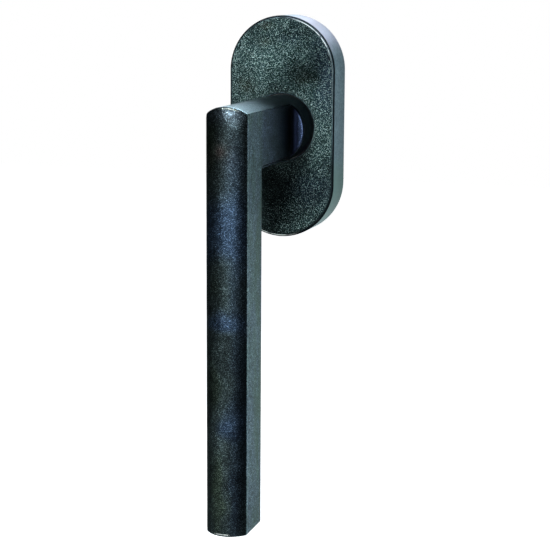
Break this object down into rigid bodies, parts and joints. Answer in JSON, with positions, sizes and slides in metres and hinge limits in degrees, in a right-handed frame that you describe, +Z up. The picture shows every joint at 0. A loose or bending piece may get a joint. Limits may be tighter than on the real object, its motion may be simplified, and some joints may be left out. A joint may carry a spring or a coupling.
{
  "type": "window handle",
  "caption": "Window handle: straight square-sided iron lever with a crowned front on a round neck, turning on an oval cast rosette, with square spindle and fixing screws behind.",
  "frame": {"origin": "where the axis of the spindle meets the face of the sash, which the rosette lies on", "axes": "+Y from the room into the sash, along the spindle; +Z up, along the rosette's length; +X to the right, seen from the room. The lever stands out towards -Y and hangs down in -Z, closed."},
  "size_m": [0.0336, 0.1027, 0.148],
  "materials": {
    "cast_iron_grip": "cast, blackened and waxed, brushed on the side faces",
    "cast_iron_rosette": "rough as cast on the face, brushed on the rim",
    "black_nylon": "moulded, satin",
    "pale_nylon": "moulded, satin",
    "zinc_casting": "die-cast, dull",
    "turned_steel": "turned",
    "plated_steel": "zinc-plated",
    "black_steel": "blackened, oiled",
    "spring_steel": "blued, drawn",
    "bright_steel": "ground and polished"
  },
  "bodies": {
    "base": {"base_plate": "zinc_casting", "rear_bush": "pale_nylon", "front_bush": "pale_nylon", "detent_plate": "plated_steel", "plate_screws": "plated_steel", "locating_sleeve_upper": "turned_steel", "locating_sleeve_lower": "turned_steel", "fixing_screw_upper": "plated_steel", "fixing_screw_lower": "plated_steel", "cover_clip_upper": "spring_steel", "cover_clip_lower": "spring_steel", "detent_spring_1": "spring_steel", "detent_spring_2": "spring_steel", "detent_spring_3": "spring_steel", "detent_spring_4": "spring_steel"},
    "lever": {"lever": "cast_iron_grip", "spindle_sleeve": "turned_steel", "spindle": "plated_steel", "spindle_grub_screw": "black_steel", "detent_cam": "turned_steel", "retaining_ring": "black_steel", "spring_washer": "spring_steel"},
    "cover": {"rosette_cover": "cast_iron_rosette", "cover_guide_ring": "black_nylon"},
    "ball_1": {"detent_ball_1": "bright_steel"},
    "ball_2": {"detent_ball_2": "bright_steel"},
    "ball_3": {"detent_ball_3": "bright_steel"},
    "ball_4": {"detent_ball_4": "bright_steel"}
  },
  "joints": [
    {"name": "lever_turn", "type": "hinge", "parent": "base", "child": "lever", "pos_m": [0, 0, 0], "axis": [0, -1, 0], "range_deg": [0, 180]},
    {"name": "cover_slide", "type": "slide", "parent": "base", "child": "cover", "axis": [0, -1, 0], "range_m": [0, 0.035], "deforming": ["cover_clip_upper", "cover_clip_lower"]},
    {"name": "ball_1_slide", "type": "slide", "parent": "base", "child": "ball_1", "axis": [-0.7071, 0, -0.7071], "range_m": [0, 0.0007], "stiffness_N_per_m": 1500, "springref_m": 0.0067, "deforming": ["detent_spring_1"]},
    {"name": "ball_2_slide", "type": "slide", "parent": "base", "child": "ball_2", "axis": [0.7071, 0, -0.7071], "range_m": [0, 0.0007], "stiffness_N_per_m": 1500, "springref_m": 0.0067, "deforming": ["detent_spring_2"]},
    {"name": "ball_3_slide", "type": "slide", "parent": "base", "child": "ball_3", "axis": [0.7071, 0, 0.7071], "range_m": [0, 0.0007], "stiffness_N_per_m": 1500, "springref_m": 0.0067, "deforming": ["detent_spring_3"]},
    {"name": "ball_4_slide", "type": "slide", "parent": "base", "child": "ball_4", "axis": [-0.7071, 0, 0.7071], "range_m": [0, 0.0007], "stiffness_N_per_m": 1500, "springref_m": 0.0067, "deforming": ["detent_spring_4"]}
  ],
  "couplings": [
    {"joint": "ball_2_slide", "follows": "ball_1_slide", "ratio": 1},
    {"joint": "ball_3_slide", "follows": "ball_1_slide", "ratio": 1},
    {"joint": "ball_4_slide", "follows": "ball_1_slide", "ratio": 1}
  ]
}
